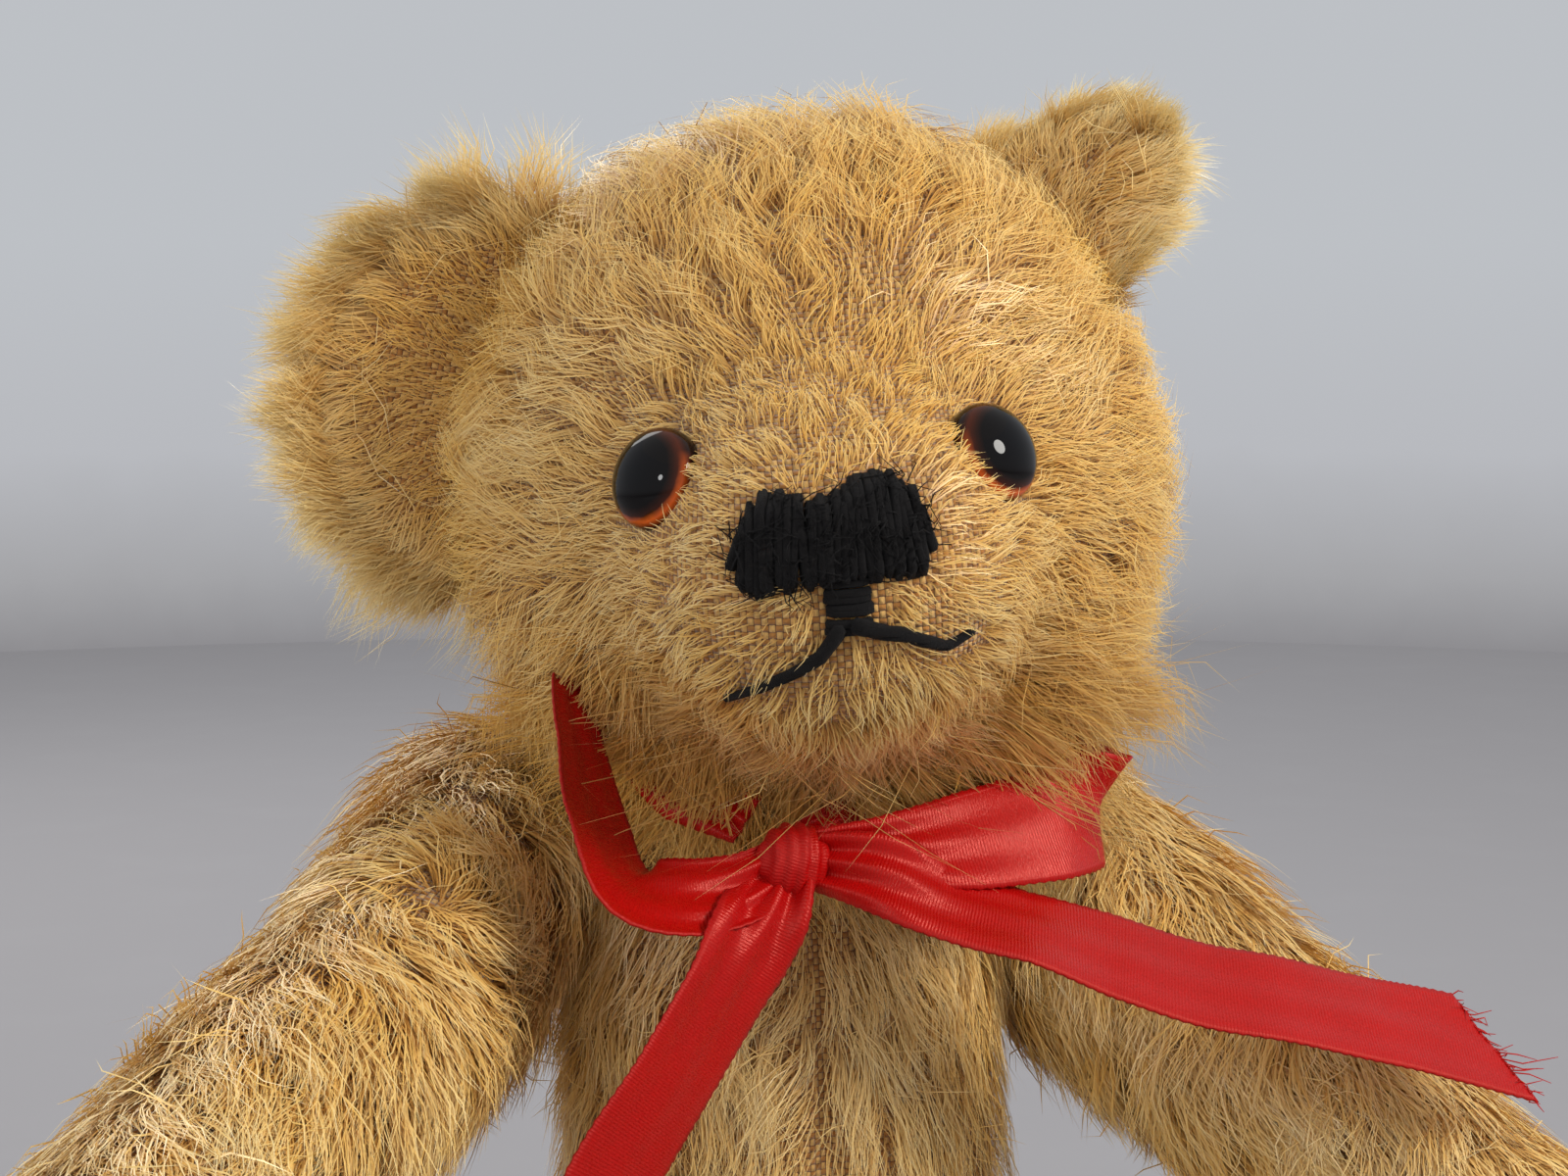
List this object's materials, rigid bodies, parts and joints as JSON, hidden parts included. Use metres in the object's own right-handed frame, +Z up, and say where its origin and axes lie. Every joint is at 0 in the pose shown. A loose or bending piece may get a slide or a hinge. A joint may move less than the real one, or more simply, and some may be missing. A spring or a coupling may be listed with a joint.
{
  "type": "threadbare teddy bear",
  "caption": "Seated, disc-jointed mohair teddy bear, worn thin in places, with glass eyes, a stitched nose and mouth, felt pads and a satin ribbon bow.",
  "frame": {"origin": "middle of the flat patch under the body that the bear sits on", "axes": "+Z up, the body faces -Y, the bear's own right side is at -X"},
  "size_m": [0.2101, 0.148, 0.2384],
  "materials": {
    "mohair": "golden mohair pile on a woven backing, worn thin in patches",
    "felt": "pressed wool felt",
    "eye_glass": "polished amber glass with a black pupil",
    "black_wool": "twisted wool thread",
    "red_satin": "satin weave with woven edges",
    "hardboard": "pressed fibre board",
    "steel": "plain steel wire and washers"
  },
  "bodies": {
    "torso": {"torso": "mohair", "neck_ribbon": "red_satin", "neck_pin": "steel", "neck_inner_disc": "hardboard", "neck_inner_washer": "steel", "shoulder_right_pin": "steel", "shoulder_right_inner_disc": "hardboard", "shoulder_right_inner_washer": "steel", "shoulder_left_pin": "steel", "shoulder_left_inner_disc": "hardboard", "shoulder_left_inner_washer": "steel", "hip_right_pin": "steel", "hip_right_inner_disc": "hardboard", "hip_right_inner_washer": "steel", "hip_left_pin": "steel", "hip_left_inner_disc": "hardboard", "hip_left_inner_washer": "steel"},
    "head": {"head": "mohair", "ear_right": "mohair", "ear_left": "mohair", "eye_right": "eye_glass", "eye_left": "eye_glass", "eye_shank_right": "steel", "eye_shank_left": "steel", "nose_stitching": "black_wool", "mouth_stitching": "black_wool", "neck_outer_disc": "hardboard", "neck_outer_washer": "steel"},
    "arm_right": {"arm_right": "mohair", "paw_pad_right": "felt", "shoulder_right_outer_disc": "hardboard", "shoulder_right_outer_washer": "steel"},
    "arm_left": {"arm_left": "mohair", "paw_pad_left": "felt", "shoulder_left_outer_disc": "hardboard", "shoulder_left_outer_washer": "steel"},
    "leg_right": {"leg_right": "mohair", "foot_pad_right": "felt", "hip_right_outer_disc": "hardboard", "hip_right_outer_washer": "steel"},
    "leg_left": {"leg_left": "mohair", "foot_pad_left": "felt", "hip_left_outer_disc": "hardboard", "hip_left_outer_washer": "steel"}
  },
  "joints": [
    {"name": "neck", "type": "hinge", "parent": "torso", "child": "head", "pos_m": [0.005, -0.003, 0.148], "axis": [-0.0785, 0, 0.9969], "continuous": true},
    {"name": "shoulder_right", "type": "hinge", "parent": "torso", "child": "arm_right", "pos_m": [-0.0275, 0.001, 0.127], "axis": [-0.9752, 0.172, 0.1392], "range_deg": [-90, 65]},
    {"name": "shoulder_left", "type": "hinge", "parent": "torso", "child": "arm_left", "pos_m": [0.0275, 0.001, 0.127], "axis": [0.9752, 0.172, 0.1392], "range_deg": [-65, 90], "deforming": ["neck_ribbon"]},
    {"name": "hip_right", "type": "hinge", "parent": "torso", "child": "leg_right", "pos_m": [-0.029, 0, 0.026], "axis": [-0.9877, 0.1564, 0], "range_deg": [-80, 20]},
    {"name": "hip_left", "type": "hinge", "parent": "torso", "child": "leg_left", "pos_m": [0.029, 0, 0.026], "axis": [0.9877, 0.1564, 0], "range_deg": [-20, 80]}
  ]
}
